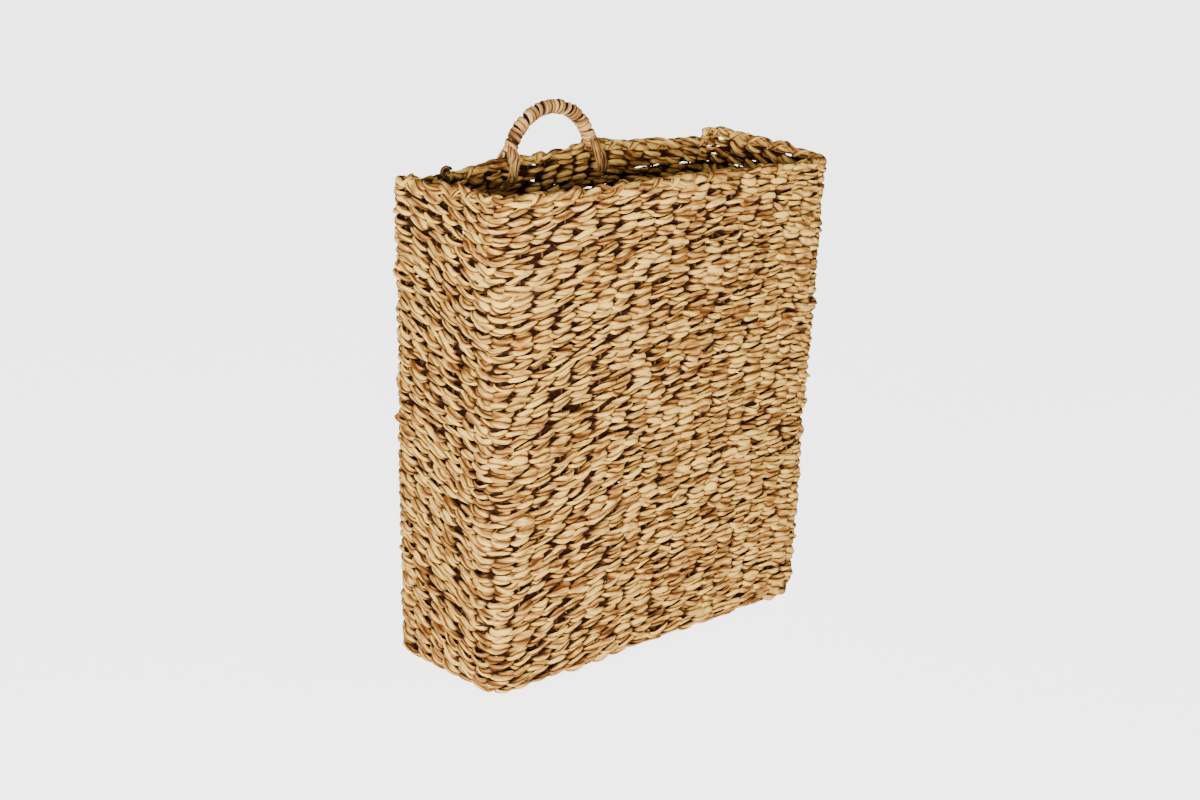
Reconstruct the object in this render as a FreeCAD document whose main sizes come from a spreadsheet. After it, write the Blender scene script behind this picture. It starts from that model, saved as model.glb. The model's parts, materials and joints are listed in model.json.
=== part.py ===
import FreeCAD, Part
import math
import operator
import os
import Sketcher

# Seagrass storage basket: a tall, flat-sided basket twined from seagrass cord over upright stakes,
# with one wrapped loop handle that stands on the middle of the back rim and bends at its bare strands.
# Frame: +Z up, X along the width, the front at -Y, the handle at +Y, origin under the middle.

V = FreeCAD.Vector
doc = FreeCAD.newDocument("seagrass_basket")
sheet = doc.addObject("Spreadsheet::Sheet", "sizes")

DRIVING_SIZES = [
    ("rim_height", 430),          # top of the rolled rim
    ("base_half_width", 191),     # wall outline at the floor, to the flat of each side
    ("rim_half_width", 198),
    ("base_half_depth", 70.5),
    ("rim_half_depth", 74),
    ("base_bulge", 1.5),          # how far the middle of each side stands out at the floor
    ("front_bulge", 14),          # and at the rim
    ("back_bulge", 20),
    ("side_bulge", 2.5),
    ("centre_shift", 5.05),       # the outline's centre lies this far in front of the origin
    ("corner_radius", 22),
    ("edge_radius", 17),          # rounded turn between base and wall
    ("strand", 2.5),              # thickness of one layer of weft
    ("stake_diameter", 2.8),
    ("clearance", 0.3),
    ("row_pitch", 7.9),
    ("rows_per_length", 5),       # rows made by one pair of weft lengths before the next is spliced on
    ("rim_round", 3),             # rounding of the rolled rim's top
    ("handle_offset", 5),         # the handle's middle, to the right of the basket's middle
    ("handle_radius", 51),
    ("handle_half_span", 47),
    ("handle_thickness", 13.4),
    ("core_diameter", 8.2),
    ("pivot_rise", 7.5),          # height of the bending place above the rim
    ("wrap_angle", 121),          # part of the arch that the wrapping cord covers
    ("loop_diameter", 4),
    ("loop_half_gap", 8.2),       # half the distance between a loop's inside and outside strands
    ("loop_drop", 26),            # how far below the rim a loop passes through the wall
    ("loop_corner", 4.2),
    ("pass_slack", 1.2),          # gap round a loop where it passes through the wall
    ("loop_top_half_gap", 3.2),
    ("left_splay", 3.5),          # degrees that a loop leans outwards, to pass between two stakes
    ("right_splay", 12),
    ("loop_top", 3),              # how far below the pivot a loop's strands end
    ("long_stake_reach", 167),    # from the middle of a long side to its last stake, at the floor
    ("end_stake_reach", 39.3),
    ("corner_stake_turn", 56.5),  # degrees round a corner, from the long side
    ("stake_tuck", 1.2),          # how far an end stake runs on under the base
    ("stake_gap", 1.5),           # between the stakes' tops and the rolled rim
    ("channel_slack", 1.2),       # extra depth of the rim's channel, because the stakes lean
    ("tail_diameter", 3.4),
    ("tail_length", 17),
    ("rim_tail_x", 178),
    ("rim_tail_rise", 2),
    ("rim_tail_tilt", 78),
    ("knot_x", 131),
    ("knot_drop", 13),
    ("knot_tilt", 9),
]
for row, (alias, value) in enumerate(DRIVING_SIZES, 1):
    sheet.set(f"A{row}", alias)
    sheet.set(f"B{row}", str(value))
    sheet.setAlias(f"B{row}", alias)
doc.recompute()

WEFT_LENGTHS = 10        # pairs of weft lengths, one above the other
LONG_STAKES = 18         # run down the front, under the base and up the back
END_STAKES = 5           # in each end wall, besides one in each corner
FRONT, RIGHT, BACK, LEFT = range(4)
OUTWARD = [V(0, -1, 0), V(1, 0, 0), V(0, 1, 0), V(-1, 0, 0)]
OPERATIONS = {"+": operator.add, "-": operator.sub, "*": operator.mul, "/": operator.truediv}


class Size:
    """A length together with the sheet expression that it comes from."""

    def __init__(self, value, text):
        self.value = value
        self.text = text

    def combine(self, sign, other):
        other = as_size(other)
        return Size(OPERATIONS[sign](self.value, other.value), f"({self.text} {sign} {other.text})")

    def __add__(self, other):
        return self.combine("+", other)

    def __sub__(self, other):
        return self.combine("-", other)

    def __mul__(self, other):
        return self.combine("*", other)

    def __truediv__(self, other):
        return self.combine("/", other)


def as_size(number):
    return number if isinstance(number, Size) else Size(number, f"({number})")


def cell(alias):
    return Size(float(sheet.get(alias)), "sizes." + alias)


def root_of(size):
    return Size(math.sqrt(size.value), f"sqrt({size.text})")


def sine_of(degrees):
    return Size(math.sin(math.radians(degrees.value)), f"sin({degrees.text})")


def cosine_of(degrees):
    return Size(math.cos(math.radians(degrees.value)), f"cos({degrees.text})")


strand = cell("strand")
stake = cell("stake_diameter")
clearance = cell("clearance")
edge_radius = cell("edge_radius")
rim_height = cell("rim_height")
band_height = cell("row_pitch") * cell("rows_per_length")

OUTSIDE = Size(0.0, "0")                                # insets from the basket's outer face
STAKE_LINE = strand + clearance + stake / 2
INNER_LAYER = strand + stake + clearance * 2
INSIDE = strand * 2 + stake + clearance * 2
border_start = edge_radius + band_height * WEFT_LENGTHS


def between(base, rim, height):
    """A size that grows in a straight line from the floor to the rim."""
    return base + (rim - base) * height / rim_height


def side_arcs(height, inset):
    """Chord half-length, bulge and chord distance of the four sides at a height: front, right, back, left."""
    half_width = between(cell("base_half_width"), cell("rim_half_width"), height) - inset
    half_depth = between(cell("base_half_depth"), cell("rim_half_depth"), height) - inset
    bulges = [between(cell("base_bulge"), cell(name), height)
              for name in ("front_bulge", "side_bulge", "back_bulge", "side_bulge")]
    chords = [half_width, half_depth, half_width, half_depth]
    distances = [half_depth, half_width, half_depth, half_width]
    arcs = []
    for chord, bulge, distance in zip(chords, bulges, distances):
        radius = (chord * chord + bulge * bulge) / (bulge * 2)
        arcs.append((radius, radius - bulge - distance))
    return arcs


def middle(setback, side):
    """Centre of a side's arc, which lies across the outline from that side."""
    return OUTWARD[side] * -setback.value + V(0, -cell("centre_shift").value, 0)


def corner_centre(arcs, corner, side):
    """Centre of the corner arc between a side and the next: it touches both side arcs from inside."""
    following = (side + 1) % 4
    one, two = middle(arcs[side][1], side), middle(arcs[following][1], following)
    reach_one, reach_two = arcs[side][0].value - corner.value, arcs[following][0].value - corner.value
    gap = two - one
    along = (reach_one ** 2 - reach_two ** 2 + gap.Length ** 2) / (2 * gap.Length)
    across = math.sqrt(reach_one ** 2 - along ** 2)
    axis = gap.normalize()
    candidates = [one + axis * along + V(-axis.y, axis.x, 0) * across * sign for sign in (1, -1)]
    diagonal = OUTWARD[side] + OUTWARD[following]
    return max(candidates, key=lambda point: point.dot(diagonal))


def angle_of(vector):
    return math.atan2(vector.y, vector.x)


def constrain(sketch, name, kind, where, size):
    index = sketch.addConstraint(Sketcher.Constraint(kind, *where, size.value))
    sketch.renameConstraint(index, name)
    sketch.setExpression("Constraints." + name, size.text)


def draw_outline(sketch, prefix, height, inset):
    """Closed outline of the basket: four gently bulged sides joined by round corners, all tangent."""
    arcs = side_arcs(height, inset)
    corner = cell("corner_radius") - inset
    corners = [corner_centre(arcs, corner, side) for side in range(4)]
    up = V(0, 0, 1)
    drawn = []
    for side in range(4):
        centre = middle(arcs[side][1], side)
        radius = arcs[side][0].value
        start, end = angle_of(corners[side - 1] - centre), angle_of(corners[side] - centre)
        drawn.append(sketch.addGeometry(Part.ArcOfCircle(Part.Circle(centre, up, radius), start, end), False))
        start = end
        end = angle_of(corners[side] - middle(arcs[(side + 1) % 4][1], (side + 1) % 4))
        bend = Part.Circle(corners[side], up, corner.value)
        drawn.append(sketch.addGeometry(Part.ArcOfCircle(bend, start, end), False))
    for index, geometry in enumerate(drawn):
        following = drawn[(index + 1) % len(drawn)]
        sketch.addConstraint(Sketcher.Constraint("Tangent", geometry, 2, following, 1))
    shift = cell("centre_shift")
    origin, centre_point = (-1, 1), 3
    for side in range(4):
        geometry = drawn[2 * side]
        radius, setback = arcs[side]
        constrain(sketch, f"{prefix}_side_{side}", "Radius", (geometry,), radius)
        constrain(sketch, f"{prefix}_corner_{side}", "Radius", (drawn[2 * side + 1],), corner)
        point = (geometry, centre_point)
        name = f"{prefix}_centre_{side}"
        if side in (FRONT, BACK):
            sketch.addConstraint(Sketcher.Constraint("PointOnObject", *point, -2))
        else:
            constrain(sketch, name + "_y", "DistanceY", point + origin, shift)
        if side == FRONT:
            constrain(sketch, name, "DistanceY", origin + point, setback - shift)
        elif side == RIGHT:
            constrain(sketch, name, "DistanceX", point + origin, setback)
        elif side == BACK:
            constrain(sketch, name, "DistanceY", point + origin, setback + shift)
        else:
            constrain(sketch, name, "DistanceX", origin + point, setback)


def new_body(name):
    body = doc.addObject("PartDesign::Body", name)
    body.Label = name
    return body


def new_sketch(body, name, role, offset=None):
    sketch = body.newObject("Sketcher::SketchObject", name)
    plane = next(item for item in body.Origin.OriginFeatures if item.Role == role)
    sketch.AttachmentSupport = [(plane, "")]
    sketch.MapMode = "FlatFace"
    if offset is not None:
        sketch.AttachmentOffset = FreeCAD.Placement(V(0, 0, offset.value), FreeCAD.Rotation())
        sketch.setExpression("AttachmentOffset.Base.z", offset.text)
    return sketch


def draw_circle(sketch, name, radius, x=None, y=None):
    """Circle at a bound place; a coordinate that is left out lies on the sketch's axis."""
    centre = V(x.value if x else 0, y.value if y else 0, 0)
    geometry = sketch.addGeometry(Part.Circle(centre, V(0, 0, 1), radius.value), False)
    constrain(sketch, name + "_radius", "Radius", (geometry,), radius)
    for label, place, kind, axis in (("x", x, "DistanceX", -2), ("y", y, "DistanceY", -1)):
        if place is None:
            sketch.addConstraint(Sketcher.Constraint("PointOnObject", geometry, 3, axis))
        else:
            constrain(sketch, f"{name}_{label}", kind, (-1, 1, geometry, 3), place)


def pad(body, sketch, length):
    feature = body.newObject("PartDesign::Pad", body.Name + "_pad")
    feature.Profile = sketch
    feature.setExpression("Length", length.text)
    doc.recompute()
    return feature


def round_edges(body, feature, radius, chosen):
    """Rounds the edges of a feature that the test picks."""
    names = [f"Edge{number}" for number, edge in enumerate(feature.Shape.Edges, 1) if chosen(edge)]
    fillet = body.newObject("PartDesign::Fillet", body.Name + "_round")
    fillet.Base = (feature, names)
    fillet.setExpression("Radius", radius.text)
    doc.recompute()
    return fillet


def lies_at(edge, height):
    return all(abs(vertex.Z - height) < 1e-4 for vertex in edge.Vertexes)


def wall_ring(name, low, high, outer_inset, inner_inset):
    """One layer of the wall between two heights, open in the middle."""
    body = new_body(name)
    sections = []
    for label, height in (("low", low), ("high", high)):
        sketch = new_sketch(body, f"{name}_{label}", "XY_Plane", height)
        draw_outline(sketch, "outer", height, outer_inset)
        draw_outline(sketch, "inner", height, inner_inset)
        sections.append(sketch)
    loft = body.newObject("PartDesign::AdditiveLoft", name + "_loft")
    loft.Profile = sections[0]
    loft.Sections = [sections[1]]
    loft.Ruled = True
    doc.recompute()
    return body, loft


def tray(name, inset):
    """Solid block with the basket's rounded bottom, for one face of the turned-up edge."""
    body = new_body(name)
    sketch = new_sketch(body, name + "_outline", "XY_Plane", inset)
    draw_outline(sketch, "outline", edge_radius, inset)
    block = pad(body, sketch, edge_radius - inset)
    round_edges(body, block, edge_radius - inset - clearance, lambda edge: lies_at(edge, inset.value))
    return body


def plate(name, bottom, thickness, inset):
    body = new_body(name)
    sketch = new_sketch(body, name + "_outline", "XY_Plane", bottom)
    draw_outline(sketch, "outline", edge_radius, inset)
    pad(body, sketch, thickness)
    return body


def cut(name, base, tool):
    result = doc.addObject("Part::Cut", name)
    result.Label = name
    result.Base = base
    result.Tool = tool
    doc.recompute()
    return result


# The turned-up edge between base and wall: an outer and an inner layer of weft.
centre_hole = plate("edge_hole", OUTSIDE - clearance, edge_radius * 2, edge_radius)
edge_outer = cut("edge_outer_weft", cut("edge_outer_shell", tray("edge_face_1", OUTSIDE),
                                        tray("edge_face_2", strand)), centre_hole)
edge_inner = cut("edge_inner_weft", cut("edge_inner_shell", tray("edge_face_3", INNER_LAYER),
                                        tray("edge_face_4", INSIDE)), centre_hole)

# The base: a lower and an upper layer of weft with the long stakes between them.
base_lower = plate("base_lower_weft", OUTSIDE, strand, edge_radius + clearance)
base_upper = plate("base_upper_weft", INNER_LAYER, strand, edge_radius + clearance)
parts = [base_lower, base_upper, edge_outer, edge_inner]

# The wall: each pair of weft lengths makes several rows, seen as one outer and one inner layer.
loop_depth = cell("loop_drop") + cell("pivot_rise")


def loop_pass(side):
    """Distance from the handle's middle, and height, at which a loop passes through the wall."""
    splay = cell(f"{side}_splay")
    reach = cell("handle_half_span") + loop_depth * sine_of(splay)
    return reach, rim_height + cell("pivot_rise") - loop_depth * cosine_of(splay)


for number in range(WEFT_LENGTHS):
    low = edge_radius + band_height * number
    high = low + band_height - clearance
    for layer, outer_inset, inner_inset in (("outer", OUTSIDE, strand), ("inner", INNER_LAYER, INSIDE)):
        name = f"weft_{layer}_{number + 1:02d}"
        body, loft = wall_ring(name, low, high, outer_inset, inner_inset)
        if number == WEFT_LENGTHS - 1:
            holes = new_sketch(body, name + "_passes", "XZ_Plane")
            hole_radius = cell("loop_diameter") / 2 + cell("pass_slack")
            right_reach, right_height = loop_pass("right")
            left_reach, left_height = loop_pass("left")
            draw_circle(holes, "right_pass", hole_radius, right_reach + cell("handle_offset"), right_height)
            centre = V(cell("handle_offset").value - left_reach.value, left_height.value, 0)
            left = holes.addGeometry(Part.Circle(centre, V(0, 0, 1), hole_radius.value), False)
            constrain(holes, "left_radius", "Radius", (left,), hole_radius)
            constrain(holes, "left_x", "DistanceX", (left, 3, -1, 1), left_reach - cell("handle_offset"))
            constrain(holes, "left_y", "DistanceY", (-1, 1, left, 3), left_height)
            pocket = body.newObject("PartDesign::Pocket", name + "_pocket")
            pocket.Profile = holes
            pocket.Type = "ThroughAll"
            doc.recompute()
            drilled = 2 * math.pi * hole_radius.value ** 2 * strand.value
            if abs(loft.Shape.Volume - pocket.Shape.Volume - drilled) > drilled / 2:
                raise RuntimeError(f"{name}: the passes for the handle's loops aren't cut once each")
        parts.append(body)

# The rolled rim: the last rows, closed over the turned-down ends of the stakes.
rim = new_body("rim_border")
rim_sketch = new_sketch(rim, "rim_outline", "XY_Plane", border_start)
draw_outline(rim_sketch, "outer", rim_height, OUTSIDE)
draw_outline(rim_sketch, "inner", rim_height, INSIDE)
rim_ring = pad(rim, rim_sketch, rim_height - border_start)
rounded = round_edges(rim, rim_ring, cell("rim_round"), lambda edge: lies_at(edge, rim_height.value))
channel = new_sketch(rim, "rim_channel", "XY_Plane", border_start)
draw_outline(channel, "outer", rim_height, strand)
draw_outline(channel, "inner", rim_height, INNER_LAYER + cell("channel_slack"))
groove = rim.newObject("PartDesign::Pocket", "rim_groove")
groove.Profile = channel
groove.Reversed = True
groove.setExpression("Length", (rim_height - border_start - strand * 2).text)
doc.recompute()
if groove.Shape.Volume >= rounded.Shape.Volume:
    raise RuntimeError("the rim has no channel for the stakes")
parts.append(rim)


def stake_line_point(side, height, along):
    """Point on the stakes' line of a side at a height, at a distance along from the side's middle."""
    radius, setback = side_arcs(Size(height, str(height)), STAKE_LINE)[side]
    centre = middle(setback, side)
    reach = math.sqrt(radius.value ** 2 - along ** 2)
    sideways = V(-OUTWARD[side].y, OUTWARD[side].x, 0)
    return centre + OUTWARD[side] * reach + sideways * along + V(0, 0, height)


def corner_point(side, height, turn):
    """Point on the stakes' line of the corner after a side, turned by an angle in degrees."""
    arcs = side_arcs(Size(height, str(height)), STAKE_LINE)
    radius = cell("corner_radius").value - STAKE_LINE.value
    direction = FreeCAD.Rotation(V(0, 0, 1), turn).multVec(OUTWARD[side])
    centre = corner_centre(arcs, cell("corner_radius") - STAKE_LINE, side)
    return centre + direction * radius + V(0, 0, height), direction


def bent_rod(path):
    """Round rod along a wire, from the wire's first point."""
    start = path.Edges[0].firstVertex(True).Point
    tangent = path.Edges[0].tangentAt(path.Edges[0].FirstParameter)
    profile = Part.Wire(Part.makeCircle(stake.value / 2, start, tangent))
    return path.makePipeShell([profile], True, False)


def turn(foot, inward):
    """Quarter turn of a stake at the bottom edge, from the wall's foot to the base."""
    radius = edge_radius.value - STAKE_LINE.value
    low = foot + inward * radius - V(0, 0, radius)
    diagonal = math.sqrt(0.5)
    waist = foot + inward * (radius * (1 - diagonal)) - V(0, 0, radius * diagonal)
    return waist, low


def rod_group(name, rods):
    group = doc.addObject("Part::Feature", name)
    group.Shape = Part.makeCompound(rods)
    group.Label = name
    return group


TOP_OF_STAKES = (rim_height - strand * 2 - cell("stake_gap")).value
FOOT = edge_radius.value


def long_stake(share):
    """Stake at a share of the half width: down the front, under the base and up the back."""
    reach = cell("long_stake_reach").value
    growth = cell("rim_half_width").value / cell("base_half_width").value
    spread = 1 + (growth - 1) * TOP_OF_STAKES / rim_height.value
    front_top = stake_line_point(FRONT, TOP_OF_STAKES, share * reach * spread)
    front_foot = stake_line_point(FRONT, FOOT, share * reach)
    back_top = stake_line_point(BACK, TOP_OF_STAKES, -share * reach * spread)
    back_foot = stake_line_point(BACK, FOOT, -share * reach)
    front_waist, front_low = turn(front_foot, V(0, 1, 0))
    back_waist, back_low = turn(back_foot, V(0, -1, 0))
    edges = [Part.LineSegment(front_top, front_foot), Part.Arc(front_foot, front_waist, front_low),
             Part.LineSegment(front_low, back_low), Part.Arc(back_low, back_waist, back_foot),
             Part.LineSegment(back_foot, back_top)]
    return bent_rod(Part.Wire([edge.toShape() for edge in edges]))


def end_stake(top, foot, inward):
    """Stake of an end wall or corner: down the wall and a short way under the base."""
    waist, low = turn(foot, inward)
    edges = [Part.LineSegment(top, foot), Part.Arc(foot, waist, low),
             Part.LineSegment(low, low + inward * cell("stake_tuck").value)]
    return bent_rod(Part.Wire([edge.toShape() for edge in edges]))


shares = [2 * number / (LONG_STAKES - 1) - 1 for number in range(LONG_STAKES)]
parts.append(rod_group("long_stakes", [long_stake(share) for share in shares]))

end_rods = []
for side in (RIGHT, LEFT):
    for number in range(END_STAKES):
        along = cell("end_stake_reach").value * (2 * number / (END_STAKES - 1) - 1)
        top = stake_line_point(side, TOP_OF_STAKES, along)
        end_rods.append(end_stake(top, stake_line_point(side, FOOT, along), -OUTWARD[side]))
for side in range(4):
    bend = cell("corner_stake_turn").value
    if side in (RIGHT, LEFT):
        bend = 90 - bend
    top, direction = corner_point(side, TOP_OF_STAKES, bend)
    foot, direction = corner_point(side, FOOT, bend)
    end_rods.append(end_stake(top, foot, -direction))
parts.append(rod_group("end_stakes", end_rods))

# The handle: an arch of stalks wrapped with thin cord, whose ends turn about the bare strands at its feet.
span = cell("handle_half_span")
arch_radius = cell("handle_radius")
core_radius = cell("core_diameter") / 2
pivot_height = rim_height + cell("pivot_rise")
arch_height = pivot_height - root_of(arch_radius * arch_radius - span * span)
span_share = span / cell("rim_half_width")
wall_middle = (cell("rim_half_depth") + cell("back_bulge") * (as_size(1) - span_share * span_share)
               - STAKE_LINE - cell("centre_shift"))


def place(item, x, y, z):
    item.Placement = FreeCAD.Placement(V(x.value, y.value, z.value), FreeCAD.Rotation())
    for axis, size in (("x", x), ("y", y), ("z", z)):
        item.setExpression("Placement.Base." + axis, size.text)


def arch(name, outer_radius, inner_radius, angle):
    """Part of a ring that stands on the back wall, round or tubular in section."""
    body = new_body(name)
    place(body, cell("handle_offset"), wall_middle, arch_height)
    sketch = new_sketch(body, name + "_section", "YZ_Plane")
    draw_circle(sketch, "outer", outer_radius, None, arch_radius)
    if inner_radius is not None:
        draw_circle(sketch, "inner", inner_radius, None, arch_radius)
    ring = body.newObject("PartDesign::Revolution", name + "_arch")
    ring.Profile = sketch
    ring.ReferenceAxis = (sketch, ["H_Axis"])
    ring.Midplane = True
    ring.setExpression("Angle", angle)
    doc.recompute()
    return body


def ball(name, x, radius):
    sphere = doc.addObject("Part::Sphere", name)
    sphere.setExpression("Radius", radius.text)
    place(sphere, x, wall_middle, pivot_height)
    return sphere


feet = {"left": cell("handle_offset") - span, "right": cell("handle_offset") + span}
core = doc.addObject("Part::MultiFuse", "handle_core")
core.Label = "handle_core"
core_arch = arch("core_arch", core_radius, None, f"2 * asin({span.text} / {arch_radius.text})")
core.Shapes = [core_arch] + [ball(f"core_ball_{side}", foot, core_radius) for side, foot in feet.items()]
wrap = arch("handle_wrap", cell("handle_thickness") / 2, core_radius + clearance, "sizes.wrap_angle")
parts += [core, wrap]


def handle_loop(side, foot):
    """Bare strand that holds one foot: down inside the wall, through it, and up outside, astride the rim."""
    name = f"handle_loop_{side}"
    body = new_body(name + "_strand")
    lean = cell(f"{side}_splay").value * (1 if side == "left" else -1)
    body.Placement = FreeCAD.Placement(V(foot.value, wall_middle.value, pivot_height.value),
                                       FreeCAD.Rotation(V(0, 1, 0), lean))
    for axis, size in (("x", foot), ("y", wall_middle), ("z", pivot_height)):
        body.setExpression("Placement.Base." + axis, size.text)
    depth = loop_depth
    gap, corner = cell("loop_half_gap"), cell("loop_corner")
    top, top_gap = cell("loop_top"), cell("loop_top_half_gap")
    shoulder = cell("pivot_rise") + top
    section = new_sketch(body, name + "_section", "XZ_Plane")
    circle = section.addGeometry(Part.Circle(V(0, -depth.value, 0), V(0, 0, 1),
                                             cell("loop_diameter").value / 2), False)
    section.addConstraint(Sketcher.Constraint("PointOnObject", circle, 3, -2))
    constrain(section, "depth", "DistanceY", (circle, 3, -1, 1), depth)
    constrain(section, "radius", "Radius", (circle,), cell("loop_diameter") / 2)
    path = new_sketch(body, name + "_path", "YZ_Plane")
    floor, out = -depth.value, gap.value
    points = [V(0, floor, 0), V(out - corner.value, floor, 0), V(out, floor + corner.value, 0),
              V(out, -shoulder.value, 0), V(top_gap.value, -top.value, 0)]
    waist = V(out - corner.value * (1 - math.sqrt(0.5)), floor + corner.value * (1 - math.sqrt(0.5)), 0)
    run = path.addGeometry(Part.LineSegment(points[0], points[1]), False)
    bend = path.addGeometry(Part.Arc(points[1], waist, points[2]), False)
    rise = path.addGeometry(Part.LineSegment(points[2], points[3]), False)
    lean_in = path.addGeometry(Part.LineSegment(points[3], points[4]), False)
    path.addConstraint(Sketcher.Constraint("PointOnObject", run, 1, -2))
    path.addConstraint(Sketcher.Constraint("Tangent", run, 2, bend, 1))
    path.addConstraint(Sketcher.Constraint("Tangent", bend, 2, rise, 1))
    path.addConstraint(Sketcher.Constraint("Coincident", rise, 2, lean_in, 1))
    path.addConstraint(Sketcher.Constraint("Horizontal", run))
    path.addConstraint(Sketcher.Constraint("Vertical", rise))
    constrain(path, "depth", "DistanceY", (run, 1, -1, 1), depth)
    constrain(path, "bend", "Radius", (bend,), corner)
    constrain(path, "gap", "DistanceX", (-1, 1, rise, 1), gap)
    constrain(path, "shoulder", "DistanceY", (rise, 2, -1, 1), shoulder)
    constrain(path, "top_gap", "DistanceX", (-1, 1, lean_in, 2), top_gap)
    constrain(path, "top", "DistanceY", (lean_in, 2, -1, 1), top)
    pipe = body.newObject("PartDesign::AdditivePipe", name + "_pipe")
    pipe.Profile = section
    pipe.Spine = (path, [])
    pipe.Transition = "Right corner"
    doc.recompute()
    mirrored = body.newObject("PartDesign::Mirrored", name + "_mirror")
    mirrored.Originals = [pipe]
    mirrored.MirrorPlane = (section, [""])
    body.Tip = mirrored
    doc.recompute()
    return cut(name, body, ball(name + "_cup", foot, core_radius + clearance * 1.5))


parts += [handle_loop(side, foot) for side, foot in feet.items()]


def tail(name, x, y, z, tilt):
    """Loose end of a strand, left where the last row stops, leaning towards -X."""
    end = doc.addObject("Part::Cylinder", name)
    end.Label = name
    end.setExpression("Radius", "sizes.tail_diameter / 2")
    end.setExpression("Height", "sizes.tail_length")
    end.Placement = FreeCAD.Placement(V(x.value, y, z.value), FreeCAD.Rotation(V(0, 1, 0), -tilt.value))
    for path, size in (("Base.x", x), ("Base.z", z), ("Rotation.Angle", tilt)):
        end.setExpression("Placement." + path, size.text)
    doc.recompute()
    return end


rim_tail_x, knot_x = cell("rim_tail_x"), OUTSIDE - cell("knot_x")
knot_inset = (INSIDE + cell("tail_diameter") / 2 + clearance * 2 - STAKE_LINE).value
rim_tail_y = stake_line_point(BACK, rim_height.value, -rim_tail_x.value).y
knot_y = stake_line_point(BACK, rim_height.value, -knot_x.value).y - knot_inset
parts.append(tail("rim_tail", rim_tail_x, rim_tail_y,
                  rim_height + cell("rim_tail_rise"), cell("rim_tail_tilt")))
parts.append(tail("inside_tail", knot_x, knot_y, rim_height - cell("knot_drop"), cell("knot_tilt")))

doc.recompute()
for item in doc.Objects:
    if "Invalid" in item.State or "Error" in item.State:
        raise RuntimeError(f"{item.Label} failed: {item.State}")
    if item.isDerivedFrom("Sketcher::SketchObject") and item.solve() != 0:
        raise RuntimeError(f"{item.Label} isn't solved")
for part in parts:
    if part.Shape.isNull() or not part.Shape.isValid() or part.Shape.Volume <= 0:
        raise RuntimeError(f"{part.Label} has no valid solid")

os.makedirs("parts", exist_ok=True)
box = FreeCAD.BoundBox()
for part in parts:
    part.Shape.exportStep(f"parts/{part.Label}.step")
    box.add(part.Shape.BoundBox)
    print(part.Label, len(part.Shape.Solids), "solids", round(part.Shape.Volume / 1000, 1), "cm3")
print("box", [round(value, 2) for value in (box.XMin, box.XMax, box.YMin, box.YMax, box.ZMin, box.ZMax)])
print("pivot", round(wall_middle.value, 3), round(pivot_height.value, 3),
      {side: round(foot.value, 2) for side, foot in feet.items()})
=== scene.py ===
"""Seagrass storage basket: twined walls and base, a scalloped rim and one wrapped loop handle.

Every strand is a tube carried along a path that is worked out from the frame's nodes. All sizes are
in metres, angles in radians unless a name says degrees, and the basket stands on the floor with its
front towards -Y.
"""

import json
import logging
import math
from dataclasses import dataclass, field
from enum import Enum
from typing import Callable

import bpy
import numpy as np
from mathutils import Matrix, Vector

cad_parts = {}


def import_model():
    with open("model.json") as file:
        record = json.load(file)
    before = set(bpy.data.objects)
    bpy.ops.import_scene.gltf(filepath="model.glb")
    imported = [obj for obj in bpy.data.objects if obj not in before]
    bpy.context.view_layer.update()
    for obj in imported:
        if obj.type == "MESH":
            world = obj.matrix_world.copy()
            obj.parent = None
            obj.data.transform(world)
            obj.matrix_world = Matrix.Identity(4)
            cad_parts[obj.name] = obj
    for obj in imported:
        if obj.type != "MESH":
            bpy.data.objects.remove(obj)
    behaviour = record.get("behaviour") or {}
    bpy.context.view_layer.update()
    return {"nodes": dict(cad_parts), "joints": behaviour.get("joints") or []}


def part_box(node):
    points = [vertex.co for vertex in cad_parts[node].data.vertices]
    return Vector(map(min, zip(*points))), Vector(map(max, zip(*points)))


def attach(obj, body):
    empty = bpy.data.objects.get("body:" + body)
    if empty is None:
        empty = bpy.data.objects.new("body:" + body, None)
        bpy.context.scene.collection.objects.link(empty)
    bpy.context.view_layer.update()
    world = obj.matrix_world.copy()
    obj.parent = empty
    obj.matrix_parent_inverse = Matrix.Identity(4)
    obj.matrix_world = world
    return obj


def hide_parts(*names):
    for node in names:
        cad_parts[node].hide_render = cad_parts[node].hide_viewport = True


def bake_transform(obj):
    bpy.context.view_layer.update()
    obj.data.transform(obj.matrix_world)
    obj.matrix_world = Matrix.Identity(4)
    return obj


log = logging.getLogger("seagrass_basket")
Array = np.ndarray
MM = 0.001
SAME_HEIGHT = 0.05 * MM
OUTLINE_SAMPLES = 4000
GROUND_CLEARANCE = 0.1 * MM
UP = np.array([0.0, 0.0, 1.0])
WHITE = (1.0, 1.0, 1.0, 1.0)
STAKE_INSET = 4.2 * MM
RIM_ROW_INSET = 4.5 * MM
ROWS_TO_RIM = 51.5
SEAM_SETBACK = 0.014
SEED = 7


class Slot(Enum):
    """Material slots of the record."""

    WEFT = "seagrass_weft"
    STAKE = "seagrass_stake"
    WRAP = "seagrass_wrap"
    LOOP = "seagrass_loop"
    TAIL = "seagrass_tail"


# ---------------------------------------------------------------- shader maths


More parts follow.
